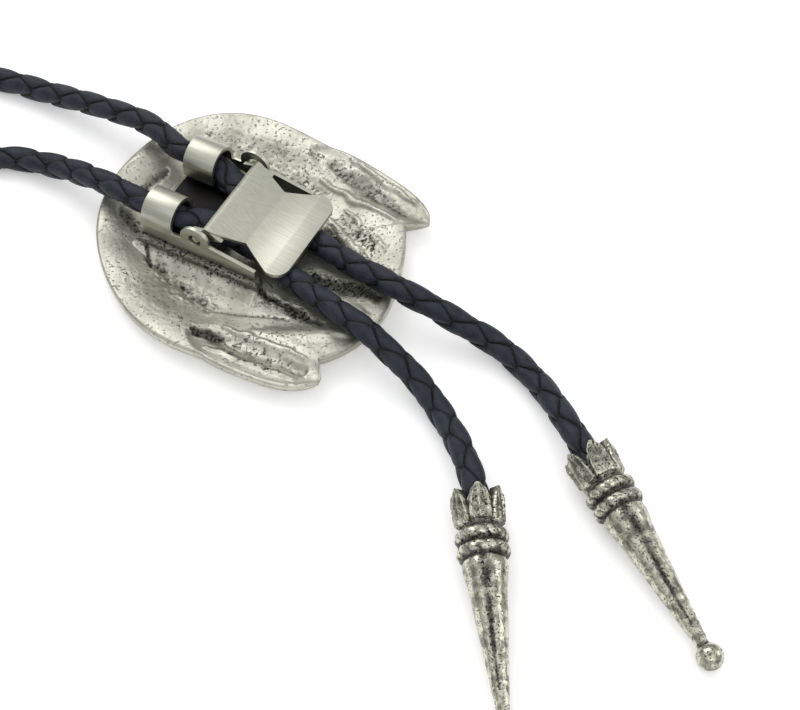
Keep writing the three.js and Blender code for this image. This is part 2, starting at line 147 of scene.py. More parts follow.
neckLoop = [
    (-0.0236, 0.0270, 0.0095, 1.0),
    (-0.0350, 0.0350, 0.0066, 1.0),
    (-0.0471, 0.0420, 0.0036, 1.0),
    (-0.0586, 0.0469, 0.0028, 1.0),
    (-0.0960, 0.0548, restHeight, 1.0),
    (-0.1460, 0.0544, restHeight, 1.0),
    (-0.1815, 0.0310, restHeight, 1.0),
    (-0.1905, -0.0180, restHeight, 1.0),
    (-0.1840, -0.0680, restHeight, 1.0),
    (-0.1500, -0.0968, restHeight, 1.0),
    (-0.1060, -0.0972, restHeight, 1.0),
    (-0.0700, -0.0860, restHeight, 1.0),
    (-0.0598, -0.0520, restHeight, 1.0),
    (-0.0710, -0.0160, restHeight, 1.0),
    (-0.0775, 0.0060, restHeight, 1.0),
    (-0.0700, 0.0210, restHeight, 1.0),
    (-0.0554, 0.0243, restHeight, 1.0),
    (-0.0445, 0.0212, 0.0039, 1.0),
    (-0.0325, 0.0126, 0.0087, 1.0),
]

# Each tip's mouth on the cord, its heading, and how far it slopes down to its ball
tipPlaces = {
    "right": {"x": 0.06055, "y": -0.0499, "headingDeg": -64.2},
    "left": {"x": 0.04065, "y": -0.0584, "headingDeg": -85.0},
}
tipLie = {"slopeDeg": 4.435, "mouthHeight": 0.005752, "cordReach": 0.0078}


def turned(x, y, headingDeg):
    heading = math.radians(headingDeg)
    return (x * math.cos(heading) - y * math.sin(heading), x * math.sin(heading) + y * math.cos(heading))


def clipPoint(along, out, up):
    x, y = turned(along, out, clipPlace["headingDeg"])
    return (clipPlace["x"] + x, clipPlace["y"] + y, clipPlace["z"] + up)


def tipPoint(place, along):
    slope = math.radians(tipLie["slopeDeg"])
    x, y = turned(along * math.cos(slope), 0, place["headingDeg"])
    return (place["x"] + x, place["y"] + y, tipLie["mouthHeight"] - along * math.sin(slope))


def cordRoute():
    rightRun = [clipPoint(along, out, up) + (flat,) for along, out, up, flat in clipRun]
    leftRun = [clipPoint(along, -out, up) + (flat,) for along, out, up, flat in clipRun]
    inTip = [
        [tipPoint(tipPlaces[side], tipLie["cordReach"]) + (1.0,), tipPoint(tipPlaces[side], 0) + (1.0,)]
        for side in ("right", "left")
    ]
    return np.array(
        inTip[0] + rightEnd[::-1] + rightRun[::-1] + neckLoop + leftRun + leftEnd + inTip[1][::-1]
    )


# Centripetal Catmull-Rom curve through the points, cut into equal steps of its length
def smoothRoute(points, step):
    ends = [2 * points[0] - points[1], 2 * points[-1] - points[-2]]
    padded = np.vstack([ends[0], points, ends[1]])
    finePerSpan = 40
    shares = np.linspace(0, 1, finePerSpan, endpoint=False)[:, None]
    spans = []
    for i in range(1, len(padded) - 2):
        p0, p1, p2, p3 = padded[i - 1:i + 3]
        d0, d1, d2 = [
            max(float(np.linalg.norm((b - a)[:3])), 1e-6) ** 0.5
            for a, b in ((p0, p1), (p1, p2), (p2, p3))
        ]
        t1 = ((p1 - p0) / d0 - (p2 - p0) / (d0 + d1) + (p2 - p1) / d1) * d1
        t2 = ((p2 - p1) / d1 - (p3 - p1) / (d1 + d2) + (p3 - p2) / d2) * d1
        squared = (3 * (p2 - p1) - 2 * t1 - t2) * shares ** 2
        cubed = (2 * (p1 - p2) + t1 + t2) * shares ** 3
        spans.append(p1 + t1 * shares + squared + cubed)
        spans[-1][:, 3] = p1[3] + (p2[3] - p1[3]) * shares[:, 0]
    line = np.vstack(spans + [padded[-2]])
    run = np.concatenate([[0], np.cumsum(np.linalg.norm(np.diff(line[:, :3], axis=0), axis=1))])
    count = int(round(run[-1] / step))
    at = np.linspace(0, run[-1], count + 1)
    return np.stack([np.interp(at, run, line[:, k]) for k in range(4)], axis=1), at


# Quads between closed rings of points, and a fan at each end. The rings follow each other
# in the point list, and the two end points close it.
def ringFaces(rings, around):
    faces = []
    for ring in range(rings - 1):
        a = ring * around
        b = a + around
        faces += [(a + k, a + (k + 1) % around, b + (k + 1) % around, b + k) for k in range(around)]
    last = (rings - 1) * around
    end = rings * around
    faces += [(end, (k + 1) % around, k) for k in range(around)]
    faces += [(end + 1, last + k, last + (k + 1) % around) for k in range(around)]
    return faces


def makePiece(name, points, faces, material=None, smooth=True):
    mesh = bpy.data.meshes.new(name)
    mesh.from_pydata([tuple(p) for p in points], [], faces)
    if smooth:
        mesh.shade_smooth()
    if material:
        mesh.materials.append(material)
    piece = bpy.data.objects.new(name, mesh)
    bpy.context.scene.collection.objects.link(piece)
    return piece


def paintPoints(piece, name, values):
    attribute = piece.data.attributes.new(name, "FLOAT", "POINT")
    attribute.data.foreach_set("value", np.asarray(values, dtype=np.float32))


# Values at the corners of the quads between rings; afterTurn is added past a full turn
def ringCorners(values, afterTurn):
    whole = np.concatenate([values, values[:, :1] + afterTurn], axis=1)
    corners = [whole[:-1, :-1], whole[:-1, 1:], whole[1:, 1:], whole[1:, :-1]]
    return np.stack(corners, axis=2).reshape(-1)


def paintCorners(piece, name, values):
    attribute = piece.data.attributes.new(name, "FLOAT", "CORNER")
    whole = np.zeros(len(piece.data.loops), dtype=np.float32)
    whole[:len(values)] = values
    attribute.data.foreach_set("value", whole)


# Four flat laces braided round: two run one way and two the other. Each shows as a long
# six-sided facet where it lies on top, with its short sides on the facets before and after.
cordLook = {
    "radius": 0.0025,
    "lead": 0.0159,        # one full turn of a lace
    "facetShape": 0.62,    # 0 gives square ends to the facets, 1 gives pointed ends
    "laceTuck": 0.00062,   # how far a lace dips where the next one covers it
    "edgeDrop": 0.00022,   # how far a facet falls at its sides, in its middle and at its ends
    "crown": 0.00005,
    "endDrop": 0.00022,
    "unevenness": 0.00010,
    "widening": 0.8,       # how much a pressed cord widens for what it loses in height
    "seamTowards": (0.0, -0.35, 0.94),
    "seamTurnDeg": 45.0,
    "step": 0.00040,
    "around": 44,
}


# Depth under the round surface for a place on the braid, in quarter leads and quarter
# turns. Facets are centred where both are whole and their sum is even.
def braidDepth(quarterLeads, quarterTurns, look):
    shape = look["facetShape"]
    lowLead = np.floor(quarterLeads)
    lowTurn = np.floor(quarterTurns)
    odd = np.mod(lowLead + lowTurn, 2)
    nearLead = quarterLeads - lowLead - odd
    nearTurn = quarterTurns - lowTurn
    farLead = quarterLeads - lowLead - (1 - odd)
    farTurn = nearTurn - 1
    near = shape * np.abs(nearLead) + np.abs(nearTurn) < shape * np.abs(farLead) + np.abs(farTurn)
    lead = np.where(near, nearLead, farLead)
    turn = np.where(near, nearTurn, farTurn)
    column = np.round(quarterTurns - turn)
    oneWay = np.mod(column, 2) == 0
    rising = (shape * lead + turn) / ((1 + shape) / 2)
    falling = (shape * lead - turn) / ((1 + shape) / 2)
    along = np.where(oneWay, rising, falling)
    across = np.where(oneWay, falling, rising)
    tuck = look["laceTuck"] * np.abs(along) ** 3
    edge = look["edgeDrop"] * np.abs(across) ** 10 + look["crown"] * across ** 2
    end = look["endDrop"] * np.abs(lead) ** 12
    # large unlike factors give each facet its own small lift
    lift = look["unevenness"] * np.sin(12.9898 * np.round(quarterLeads - lead) + 78.233 * column)
    return tuck + edge + end + lift * (1 - across ** 2) * (1 - along ** 2)


def makeCord(look, material):
    line, run = smoothRoute(cordRoute(), look["step"])
    middle = line[:, :3]
    flat = line[:, 3:4]
    along = np.gradient(middle, axis=0)
    along /= np.linalg.norm(along, axis=1, keepdims=True)
    across = np.stack([along[:, 1], -along[:, 0], np.zeros(len(along))], axis=1)
    across /= np.linalg.norm(across, axis=1, keepdims=True)
    above = np.cross(across, along)
    towards = np.array(look["seamTowards"])
    seam = np.arctan2(above @ towards, across @ towards)
    turn = 2 * math.pi * np.arange(look["around"]) / look["around"]
    onBraid = turn[None, :] - np.unwrap(seam)[:, None] + math.radians(look["seamTurnDeg"])
    quarterLeads = np.repeat(run[:, None] / (look["lead"] / 4), look["around"], axis=1)
    quarterTurns = onBraid / (math.pi / 2)
    radius = look["radius"] - braidDepth(quarterLeads, quarterTurns, look)
    wide = 1 + (1 - flat) * look["widening"]
    surface = (
        middle[:, None, :]
        + across[:, None, :] * (radius * wide * np.cos(turn))[:, :, None]
        + above[:, None, :] * (radius * flat * np.sin(turn))[:, :, None]
    )
    points = list(surface.reshape(-1, 3)) + [middle[0], middle[-1]]
    cord = makePiece("braided_cord", points, ringFaces(len(middle), look["around"]), material)
    paintCorners(cord, "quarterLeads", ringCorners(quarterLeads, 0.0))
    paintCorners(cord, "quarterTurns", ringCorners(quarterTurns, 4.0))
    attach(cord, "tie")
    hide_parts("cord")
    print("cord:", len(middle), "rings,", round(run[-1], 4), "m of line")
    return cord, middle


def newMaterial(name):
    material = bpy.data.materials.new(name)
    material.use_nodes = True
    tree = material.node_tree
    tree.nodes.clear()
    shader = addNode(tree, "BsdfPrincipled")
    addNode(tree, "OutputMaterial", Surface=shader)
    return material, tree, shader, addNode(tree, "TexCoord").outputs["Object"]


easing = {"interpolation_type": "SMOOTHSTEP"}
colourMix = {"data_type": "RGBA"}

# Bonded leather lace, calendered and dyed navy black, braided dry: dull sheen on each
# lace, hair-fine grain, and near-black painted shade in and beside the seams where laces meet
leatherLook = {
    "faceColour": "#1b1f28",
    "wornColour": "#2b303b",
    # near-black painted shade in the seams where laces meet
    "seamShadeColour": "#020203",
    "seamWidth": 0.20,     # dark line where laces meet, painted shade over a bumped groove, in quarter turns of the cord
    "shadeWidth": 0.46,    # softer painted shade beside it
    "shadeDarkness": 0.5,
    "roughness": 0.47,
    "sheen": 0.25,         # dry leather reflects less than the usual 0.5
    "grainMm": 0.35,       # leather grain is about 0.1 mm, drawn coarser so that it shows
    "streakMm": 0.9,
    "mottleMm": 2.2,
    "grooveDepth": 3.4,
    "bumpStrength": 0.85,
    "bumpMm": 0.1,
}


def braidedLeather(look):
    material, tree, shader, place = newMaterial("bonded_leather_lace")
    leads = addNode(tree, "Attribute", {"attribute_name": "quarterLeads"}).outputs["Fac"]
    turns = addNode(tree, "Attribute", {"attribute_name": "quarterTurns"}).outputs["Fac"]
    shape = cordLook["facetShape"]
    leadPart = addNode(tree, "Math", {"operation": "PINGPONG"}, in0=leads, in1=1.0)
    turnPart = addNode(tree, "Math", {"operation": "PINGPONG"}, in0=turns, in1=1.0)
    # distance to the nearest slanted side and to the nearest end of a facet
    away = addNode(tree, "Math", {"operation": "MULTIPLY_ADD"}, in0=leadPart, in1=shape, in2=turnPart)
    pastSide = addNode(tree, "Math", {"operation": "SUBTRACT"}, in0=away, in1=(1 + shape) / 2)
    fromSide = addNode(tree, "Math", {"operation": "ABSOLUTE"}, in0=pastSide)
    isInside = addNode(tree, "Math", {"operation": "LESS_THAN"}, in0=pastSide, in1=0.0)
    pastEnd = addNode(tree, "Math", {"operation": "SUBTRACT"}, in0=isInside, in1=leadPart)
    fromEnd = addNode(tree, "Math", {"operation": "ABSOLUTE"}, in0=pastEnd)
    endPart = addNode(tree, "Math", {"operation": "MULTIPLY"}, in0=fromEnd, in1=shape)
    nearest = addNode(tree, "Math", {"operation": "MINIMUM"}, in0=fromSide, in1=endPart)
    groove = addNode(
        tree, "MapRange", easing, Value=nearest, From_Min=look["seamWidth"] / 2, From_Max=0.0,
    )
    beside = addNode(
        tree, "MapRange", easing, Value=nearest,
        From_Min=look["shadeWidth"] / 2, From_Max=0.0, To_Max=look["shadeDarkness"],
    )
    # painted shade in the seams and softer beside them
    darkest = addNode(tree, "Math", {"operation": "MAXIMUM"}, in0=groove, in1=beside)
    mottle = addNode(tree, "TexNoise", Vector=place, Scale=1000 / look["mottleMm"], Detail=4.0)
    face = addNode(
        tree, "ValToRGB", Fac=mottle, stops=[(0.35, look["faceColour"]), (0.72, look["wornColour"])],
    )
    colour = addNode(
        tree, "Mix", colourMix, Factor=darkest, in6=face, in7=linearColour(look["seamShadeColour"]),
    )
    grain = addNode(tree, "TexVoronoi", Vector=place, Scale=1000 / look["grainMm"])
    streak = addNode(tree, "TexNoise", Vector=place, Scale=1000 / look["streakMm"], Detail=3.0)
    both = addNode(tree, "Math", {"operation": "ADD"}, in0=grain, in1=streak)
    sunk = addNode(
        tree, "Math", {"operation": "MULTIPLY_ADD"}, in0=groove, in1=-look["grooveDepth"], in2=both,
    )
    bump = addNode(
        tree, "Bump", Height=sunk, Strength=look["bumpStrength"], Distance=look["bumpMm"] * mm,
    )
    rough = addNode(
        tree, "MapRange", Value=mottle,
        To_Min=look["roughness"] - 0.06, To_Max=look["roughness"] + 0.12,
    )
    fillSockets(
        shader, Base_Color=colour.outputs[2], Roughness=rough, Normal=bump,
        Specular_IOR_Level=look["sheen"],
    )
    return material


# Pewter, gravity cast in a rubber mould, tumbled, blackened and rubbed back: soft satin
# high places, a grey-black patina left in pits and hollows; the same dark paints shade under the clip and
# cord shadows
pewterLook = {
    "highColour": "#c2c2b6",
    "midColour": "#aaaa9e",
    "patinaAndShadeColour": "#282723",
    "pitMm": 0.62,         # casting pits are 0.1 to 0.6 mm, drawn at the large end
    "pitLevel": 0.385,     # noise below this is a pit on clean metal
    "pitSpread": 0.15,     # how much further pits spread under full patina
    "pitSoftness": 0.09,
    "pitDarkness": 0.36,
    "pitDepth": 0.8,
    "stainAndShade": 0.82,         # how dark full patina and painted shade are between the pits
    "stainFrom": 0.18,     # patina and painted shade below this leave no dark
    "crowding": 0.30,
    "blotchMm": 6.5,
    "waveMm": 0.85,
    "waveStrength": 0.95,
    "bumpStrength": 0.7,
    "bumpMm": 0.12,
    "roughness": 0.48,
    "patinaRoughness": 0.6,
}

# The same pewter on the tips, blackened more and rubbed back to a brighter shine
tipPewterLook = {
    **pewterLook,
    "highColour": "#cfcfbe",
    "midColour": "#85857a",
    "patinaAndShadeColour": "#16141a",
    "pitMm": 0.34,
    "pitLevel": 0.41,
    "pitSpread": 0.08,
    "pitSoftness": 0.06,
    "pitDarkness": 0.72,
    "stainAndShade": 0.8,
    "crowding": 0.4,
    "blotchMm": 1.6,
    "waveMm": 0.6,
    "waveStrength": 0.36,
    "roughness": 0.25,
}


def castPewter(name, look):
    material, tree, shader, place = newMaterial(name)
    patinaAndShade = addNode(tree, "Attribute", {"attribute_name": "patinaAndShade"}).outputs["Fac"]
    blotch = addNode(tree, "TexNoise", Vector=place, Scale=1000 / look["blotchMm"], Detail=6.0)
    pits = addNode(tree, "TexNoise", Vector=place, Scale=1000 / look["pitMm"], Detail=3.0)
    # pits crowd together where the blotch noise is high and where patina and painted shade are set
    crowd = addNode(
        tree, "MapRange", Value=blotch, From_Min=0.42, From_Max=0.62, To_Max=look["crowding"],
    )
    crowded = addNode(tree, "Math", {"operation": "ADD", "use_clamp": True}, in0=crowd, in1=patinaAndShade)
    level = addNode(
        tree, "Math", {"operation": "MULTIPLY_ADD"},
        in0=crowded, in1=look["pitSpread"], in2=look["pitLevel"],
    )
    full = addNode(tree, "Math", {"operation": "SUBTRACT"}, in0=level, in1=look["pitSoftness"])
    pit = addNode(tree, "MapRange", easing, Value=pits, From_Min=level, From_Max=full)
    depth = addNode(
        tree, "Math", {"operation": "MULTIPLY_ADD"},
        in0=crowded, in1=1 - look["pitDarkness"], in2=look["pitDarkness"],
    )
    darkness = addNode(tree, "Math", {"operation": "MULTIPLY"}, in0=pit, in1=depth)
    # the patina attribute also carries painted shade under the clip and painted cord shadows
    stainAndShade = addNode(
        tree, "MapRange", easing, Value=patinaAndShade, From_Min=look["stainFrom"], To_Max=look["stainAndShade"],
    )
    darkest = addNode(tree, "Math", {"operation": "MAXIMUM"}, in0=darkness, in1=stainAndShade)
    bare = addNode(
        tree, "ValToRGB", Fac=blotch, stops=[(0.38, look["midColour"]), (0.56, look["highColour"])],
    )
    colour = addNode(
        tree, "Mix", colourMix, Factor=darkest, in6=bare, in7=linearColour(look["patinaAndShadeColour"]),
    )
    rough = addNode(
        tree, "MapRange", Value=darkest, To_Min=look["roughness"], To_Max=look["patinaRoughness"],
    )
    wave = addNode(tree, "TexNoise", Vector=place, Scale=1000 / look["waveMm"], Detail=5.0)
    deep = addNode(tree, "Math", {"operation": "MULTIPLY"}, in0=pit, in1=-look["pitDepth"])
    height = addNode(
        tree, "Math", {"operation": "MULTIPLY_ADD"}, in0=wave, in1=look["waveStrength"], in2=deep,
    )
    bump = addNode(
        tree, "Bump", Height=height, Strength=look["bumpStrength"], Distance=look["bumpMm"] * mm,
    )
    fillSockets(shader, Base_Color=colour.outputs[2], Metallic=1.0, Roughness=rough, Normal=bump)
    return material


# Nickel-plated steel strip, blanked, bent and brushed along its length: bright satin
# with fine drawn lines, and painted shade low on the floor between the walls
nickelLook = {
    "colour": "#c4c5b8",
    "shadeColour": "#a9aa9d",
    "lineMm": 0.10,        # brush lines are about 0.03 mm apart, drawn coarser so that they show
    "lineLengthMm": 9.0,
    "lineLayerMm": 0.6,
    "cloudMm": 6.0,
    "roughness": 0.37,
    "bumpStrength": 0.16,
    "bumpMm": 0.03,
    # painted shade and reflection: colour and extent of the dark on the clip's floor
    "grimeColour": "#1d1c1c",
    "grimeHalfWidthMm": 10.3,
    "grimeHeightMm": 7.3,
    "grimeFadeMm": (0.5, 0.6),
}


def satinNickel(look):
    material, tree, shader, place = newMaterial("brushed_nickel_plate")
    turn = (0, 0, -math.radians(clipPlace["headingDeg"]))
    onClip = addNode(tree, "Mapping", Vector=place, Rotation=turn)
    shrink = [1000 / look[size] for size in ("lineLengthMm", "lineMm", "lineLayerMm")]
    stretched = addNode(tree, "Mapping", Vector=onClip, Scale=shrink)
    lines = addNode(tree, "TexNoise", Vector=stretched, Scale=1.0, Detail=3.0)
    cloud = addNode(tree, "TexNoise", Vector=place, Scale=1000 / look["cloudMm"], Detail=3.0)
    colour = addNode(
        tree, "ValToRGB", Fac=lines, stops=[(0.30, look["shadeColour"]), (0.66, look["colour"])],
    )
    # painted shade and painted dark reflection on the clip's floor, low in the trough under the cords and
    # lever
    ways = addNode(tree, "SeparateXYZ", Vector=onClip)
    middle = -turned(clipPlace["x"], clipPlace["y"], -clipPlace["headingDeg"])[1]
    offMiddle = addNode(tree, "Math", {"operation": "ADD"}, in0=ways.outputs["Y"], in1=middle)
    offLine = addNode(tree, "Math", {"operation": "ABSOLUTE"}, in0=offMiddle)
    sideFade, topFade = look["grimeFadeMm"]
    inTrough = addNode(
        tree, "MapRange", easing, Value=offLine,
        From_Min=look["grimeHalfWidthMm"] * mm, From_Max=(look["grimeHalfWidthMm"] - sideFade) * mm,
    )
    isLow = addNode(
        tree, "MapRange", easing, Value=ways.outputs["Z"],
        From_Min=look["grimeHeightMm"] * mm, From_Max=(look["grimeHeightMm"] - topFade) * mm,
    )
    grime = addNode(tree, "Math", {"operation": "MULTIPLY"}, in0=inTrough, in1=isLow)
    shadedColour = addNode(
        tree, "Mix", colourMix, Factor=grime, in6=colour, in7=linearColour(look["grimeColour"]),
    )
    mixed = addNode(tree, "Math", {"operation": "ADD"}, in0=lines, in1=cloud)
    rough = addNode(
        tree, "MapRange", Value=mixed, From_Min=0.6, From_Max=1.4,
        To_Min=look["roughness"] - 0.05, To_Max=look["roughness"] + 0.08,
    )
    bump = addNode(
        tree, "Bump", Height=lines, Strength=look["bumpStrength"], Distance=look["bumpMm"] * mm,
    )
    fillSockets(shader, Base_Color=shadedColour.outputs[2], Metallic=1.0, Roughness=rough, Normal=bump)
    return material


leather = braidedLeather(leatherLook)
platePewter = castPewter("cast_pewter_plate", pewterLook)
tipPewter = castPewter("cast_pewter_tips", tipPewterLook)
nickel = satinNickel(nickelLook)
print("materials made")

cord, cordLine = makeCord(cordLook, leather)


# Cast plate. Heights are above the surface that the slide lies on, in millimetres.
plateLook = {
    "centreX": -2.55,
    "centreY": 2.4,
    "meanRadius": 31.3,
    "floorHeight": 2.2,
    "rimHeight": 5.2,
    "rimThickness": 2.0,
    "flatShare": 0.45,       # part of the front that lies flat on the surface
    "dishShare": 0.55,       # the back rises to its rim between these two
    "rimShare": 0.97,
    "leafDip": 1.1,
    "edgeRound": 0.35,
    "slowMm": 6.0,           # length and height of the casting's slow waves
    "unevenness": 0.22,
    "railPatina": 0.7,
    "frontPatina": 0.12,
    "middlePatina": 0.1,
    "around": 520,
    "backRings": 128,
    "frontRings": 22,
}

outlineWaves = [
    {"around": 1, "swing": 0.7, "peakDeg": -72},
    {"around": 2, "swing": 2.36, "peakDeg": -52.5},
    {"around": 3, "swing": 0.35, "peakDeg": -7},
    {"around": 4, "swing": 0.68, "peakDeg": 23},
    {"around": 5, "swing": 0.5, "peakDeg": 22},
]

leaves = [
    {"base": (9.0, 25.0), "tip": (33.0, 5.0), "halfWidth": 4.2},
    {"base": (-13.0, -21.2), "tip": (12.4, -32.9), "halfWidth": 5.4},
]

# Ridges and hollows of the cast back: from, to, half width, height, how dark (patina; painted shadow where
# marked) and how rough
reliefStrokes = [
    ((13.4, 21.2), (28.2, 7.6), 2.1, -0.65, 0.60, 0.20),
    ((11.2, 17.2), (26.6, 5.4), 1.0, 0.45, 0.0, 0.11),
    ((17.0, 22.4), (30.6, 9.8), 0.9, 0.50, 0.0, 0.14),
    ((-11.3, -21.0), (9.0, -31.0), 2.0, -0.75, 0.35, 0.20),
    ((-6.5, -20.2), (9.8, -28.2), 1.0, 0.60, 0.0, 0.08),
    ((-9.4, -25.4), (7.6, -33.0), 0.8, 0.35, 0.0, 0.11),
    ((-10.2, -15.2), (5.6, -17.4), 0.35, -0.35, 0.7, 0.00),
    ((-1.2, -21.6), (16.8, -22.4), 2.4, 0.40, 0.0, 0.00),
    ((-21.5, -3.5), (-9.0, -15.0), 1.8, -0.32, 0.40, 0.32),
    ((-19.6, 0.2), (-7.2, -11.4), 1.2, 0.35, 0.0, 0.19),
    ((-28.0, 21.0), (-20.2, 25.2), 2.6, 0.45, 0.0, 0.00),
    ((-24.6, 14.5), (-20.4, 19.5), 1.4, -0.35, 0.7, 0.06),
    ((-28.6, 8.6), (-25.4, 4.0), 2.0, -0.25, 0.7, 0.12),
    ((-23.9, 2.8), (-21.4, -5.2), 0.8, -0.65, 1.0, 0.06),
    ((-6.8, 25.8), (11.1, 14.2), 3.2, -0.30, 0.35, 0.19),
    ((-7.2, 31.2), (17.1, 18.9), 2.2, 0.25, 0.0, 0.06),
    ((13.2, 7.6), (21.0, -4.6), 1.1, 0.45, 0.0, 0.14),
    ((16.5, 10.0), (24.4, -1.8), 1.0, 0.25, 0.0, 0.17),
    ((-11.8, -20.6), (-6.6, -22.6), 1.6, -0.35, 1.0, 0.10),
    ((-9.0, -25.0), (5.0, -31.6), 0.9, 0.0, 0.6, 0.10),
    ((15.8, 8.0), (22.6, -1.8), 2.6, 0.0, 0.45, 0.20),
    ((20.0, 2.0), (26.0, -12.0), 3.0, 0.0, 0.30, 0.05),
    ((-12.0, 28.6), (14.0, 22.0), 2.2, 0.0, 0.28, 0.10),
    ((-26.0, -8.0), (-12.0, -20.5), 3.0, 0.0, 0.25, 0.08),
    ((-3.0, -24.0), (12.0, -20.0), 2.4, 0.0, 0.22, 0.05),
    ((12.3, 5.2), (15.6, 0.6), 1.5, -0.45, 0.9, 0.12),
    ((11.0, -9.6), (21.0, -18.6), 1.8, 0.30, 0.0, 0.00),
    ((-14.0, -4.0), (6.5, -14.6), 1.4, -0.15, 0.95, 0.22),
    # painted shadow of the right cord on the plate, over a shallow hollow
    ((10.5, -6.8), (23.0, -14.2), 2.4, -0.20, 1.0, 0.10),
    # painted shadow of the left cord on the plate, over a shallow hollow
    ((4.0, -13.5), (12.0, -19.5), 1.8, -0.15, 0.9, 0.08),
]


def smoothStep(value, low, high):
    t = np.clip((value - low) / (high - low), 0, 1)
    return t * t * (3 - 2 * t)


# Where points stand in a leaf: 0 on its midrib, 1 on its edge, more outside
def leafReach(leaf, x, y):
    spanX = leaf["tip"][0] - leaf["base"][0]
    spanY = leaf["tip"][1] - leaf["base"][1]
    length = math.hypot(spanX, spanY)
    share = ((x - leaf["base"][0]) * spanX + (y - leaf["base"][1]) * spanY) / length ** 2
    off = np.abs((x - leaf["base"][0]) * spanY - (y - leaf["base"][1]) * spanX) / length
    inside = np.clip(1 - np.abs(2 * share - 1) ** 3, 0, 1)
    half = leaf["halfWidth"] * inside ** 0.6
    thinnest = 0.05
    farOutside = 9.0
    return np.where(half > thinnest, off / np.maximum(half, thinnest), farOutside)


def roundRadius(angle, look):
    return look["meanRadius"] + sum(
        wave["swing"] * math.cos(wave["around"] * (angle - math.radians(wave["peakDeg"])))
        for wave in outlineWaves
    )


# Farthest place within a leaf along one direction, or the round outline where none is
def outlineRadius(angle, look):
    radius = roundRadius(angle, look)
    pastLeaves = look["meanRadius"] * 1.35
    far = np.arange(pastLeaves, radius, -0.05)
    x = look["centreX"] + far * math.cos(angle)
    y = look["centreY"] + far * math.sin(angle)
    within = np.min([leafReach(leaf, x, y) for leaf in leaves], axis=0) < 1
    return float(far[within][0]) if within.any() else radius


# Waviness of the casting at each point, by seeded noise of one size in millimetres
def castNoise(x, y, size, seed):
    return np.array([noise.noise(Vector((a / size, b / size, seed))) for a, b in zip(x, y)])


# How the strokes wander, taper and fade, in millimetres and in shares of a half width
reliefLook = {
    "wanderMm": 2.2,
    "wanderBy": 0.6,
    "endShare": 0.45,
    "fadeFrom": 0.15,
    "fadeTo": 1.25,
    "fineMm": 0.8,
    "plainRough": 0.02,
    "roughFrom": 0.8,
    "roughTo": 2.2,
    "hollowPatina": 2.5,     # how fast patina gathers in the fine hollows
}


def reliefAt(x, y, look):
    wobbleX = castNoise(x, y, look["wanderMm"], 1.5)
    wobbleY = castNoise(x, y, look["wanderMm"], 7.5)
    fine = castNoise(x, y, look["fineMm"], 3.5)
    height = np.zeros(len(x))
    dark = np.zeros(len(x))
    rough = np.full(len(x), look["plainRough"])
    for start, end, half, lift, shade, coarse in reliefStrokes:
        spanX, spanY = end[0] - start[0], end[1] - start[1]
        px = x + look["wanderBy"] * wobbleX * min(1, half) - start[0]
        py = y + look["wanderBy"] * wobbleY * min(1, half) - start[1]
        share = np.clip((px * spanX + py * spanY) / (spanX ** 2 + spanY ** 2), 0, 1)
        distance = np.hypot(px - share * spanX, py - share * spanY)
        swell = np.sin(math.pi * np.clip(share, 0.06, 0.94))
        off = distance / (half * (look["endShare"] + (1 - look["endShare"]) * swell))
        strength = 1 - smoothStep(off, look["fadeFrom"], look["fadeTo"])
        height += lift * strength
        dark = np.maximum(dark, shade * strength)
        rough = np.maximum(rough, coarse * (1 - smoothStep(off, look["roughFrom"], look["roughTo"])))
    height += rough * (fine * 0.9 + wobbleX * 0.5)
    dark = np.clip(dark + np.maximum(0, -fine) * rough * look["hollowPatina"], 0, 1)
    return height, dark


# Clip, in millimetres along its length from the loops' outer end and up from its underside
clipLook = {
    "sheet": 0.8,
    "halfWidth": 11.7,
    "floorLength": 12.2,
    "floorInset": 0.3,
    "overlap": 1.0,          # how far floor and walls run into the loops
    "length": 25.5,
    "loopLength": 6.8,
    "loopRadius": 4.1,
    "bottomCorner": [(0.5, 0), (0.15, 0.15), (0, 0.5)],
    "wallStartHeight": 3.0,
    "wallEndHeight": 2.1,
    "lipHeight": 2.0,
    "earAt": 12.2,
    "earHeight": 4.2,
    "earRadius": 3.2,
    "earTurnDeg": (-8, 195),
    "holeRadius": 1.35,
    "edge": 0.14,
}


# Pad and rails cast on the plate's back under the clip
padLook = {
    "startAt": -0.6,
    "pastFloor": 2.2,
    "railPastClip": 1.0,
    "margin": 1.2,
    "railReach": 1.4,
    "bottom": -4.6,
    "gap": 0.3,
    "edge": 0.5,
    # painted shade: the pad under the clip is darkened as if in shadow, along with its patina
    "patinaAndShade": 0.7,
}


# The casting swells up to the pad and rails under the clip on their outer sides
moundLook = {
    "top": 4.9,
    "slope": 1.0,
    "endSlope": 1.6,
    "beforeEnd": 0.4,
    "innerSide": 2.5,        # no swelling farther in from the clip's side than this
    "wobbleMm": 1.7,
    "wobble": 0.35,
    "share": 0.75,           # of the swelling that is left where it meets the relief
}


def moundHeight(x, y, look, clip, pad):
    heading = math.radians(clipPlace["headingDeg"])
    px = x - clipPlace["x"] / mm
    py = y - clipPlace["y"] / mm
    along = px * math.cos(heading) + py * math.sin(heading)
    across = np.abs(-px * math.sin(heading) + py * math.cos(heading))
    out = np.maximum(across - clip["halfWidth"] - pad["margin"], 0)
    past = np.maximum(pad["startAt"] - along, 0)
    end = clip["length"] + pad["railPastClip"] - look["beforeEnd"]
    beyond = look["endSlope"] * np.maximum(along - end, 0)
    wobble = look["wobble"] * castNoise(x, y, look["wobbleMm"], 21.5)
    height = look["top"] - look["slope"] * (np.hypot(out, past) + beyond) + wobble
    inside = (across < clip["halfWidth"] - look["innerSide"]) & (along > pad["startAt"])
    return np.where(inside, 0, height)
